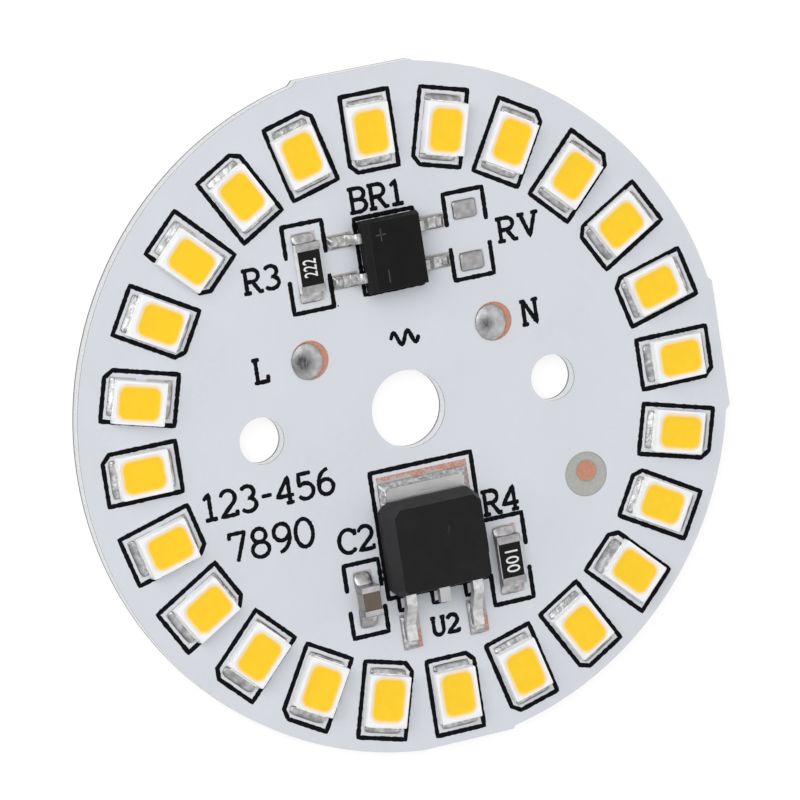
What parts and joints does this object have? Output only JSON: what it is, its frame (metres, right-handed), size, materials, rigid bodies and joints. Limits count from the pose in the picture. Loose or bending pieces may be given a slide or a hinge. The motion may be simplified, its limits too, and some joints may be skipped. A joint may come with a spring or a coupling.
{
  "type": "led board",
  "caption": "Round mains LED board: a ring of surface-mount LEDs, a bridge rectifier and a linear driver on an aluminium-core disc with a wire hole and screw holes.",
  "frame": {"origin": "axis of the wire hole on the back face of the board", "axes": "+Z out of the populated face, +X through the right screw hole, +Y from the driver towards the bridge rectifier"},
  "size_m": [0.0438, 0.0436, 0.0035],
  "materials": {
    "core": "rolled and punched",
    "dielectric": "filled epoxy film",
    "copper": "etched foil",
    "solder_mask": "satin white",
    "ink": "screen print",
    "led_housing": "moulded",
    "phosphor": "cured resin",
    "silvered_frame": "silver plated",
    "die": "sapphire",
    "driver_moulding": "moulded epoxy",
    "rectifier_moulding": "moulded epoxy",
    "tinned_lead": "matt tin",
    "solder": "reflowed tin alloy",
    "chip_terminal": "tinned",
    "alumina": "fired ceramic",
    "capacitor_ceramic": "fired ceramic",
    "resistor_coat": "glazed"
  },
  "bodies": {
    "root": {"aluminium_base": "core", "bleed_resistor_ceramic": "alumina", "bleed_resistor_coat": "resistor_coat", "bleed_resistor_terminals": "chip_terminal", "capacitor_ceramic": "capacitor_ceramic", "capacitor_terminals": "chip_terminal", "chip_solder": "solder", "copper_tracks": "copper", "dielectric_layer": "dielectric", "driver_body": "driver_moulding", "driver_heat_tab": "tinned_lead", "driver_lead_left": "tinned_lead", "driver_lead_right": "tinned_lead", "driver_solder": "solder", "led_dies": "die", "led_housing_01": "led_housing", "led_housing_02": "led_housing", "led_housing_03": "led_housing", "led_housing_04": "led_housing", "led_housing_05": "led_housing", "led_housing_06": "led_housing", "led_housing_07": "led_housing", "led_housing_08": "led_housing", "led_housing_09": "led_housing", "led_housing_10": "led_housing", "led_housing_11": "led_housing", "led_housing_12": "led_housing", "led_housing_13": "led_housing", "led_housing_14": "led_housing", "led_housing_15": "led_housing", "led_housing_16": "led_housing", "led_housing_17": "led_housing", "led_housing_18": "led_housing", "led_housing_19": "led_housing", "led_housing_20": "led_housing", "led_housing_21": "led_housing", "led_housing_22": "led_housing", "led_housing_23": "led_housing", "led_housing_24": "led_housing", "led_lead_frames": "silvered_frame", "led_phosphor": "phosphor", "led_solder": "solder", "mains_pad_solder": "solder", "printed_outlines": "ink", "rectifier_body": "rectifier_moulding", "rectifier_lead_live": "tinned_lead", "rectifier_lead_minus": "tinned_lead", "rectifier_lead_neutral": "tinned_lead", "rectifier_lead_plus": "tinned_lead", "rectifier_solder": "solder", "sense_resistor_ceramic": "alumina", "sense_resistor_coat": "resistor_coat", "sense_resistor_terminals": "chip_terminal", "solder_mask": "solder_mask", "varistor_pad_solder": "solder"}
  },
  "joints": []
}
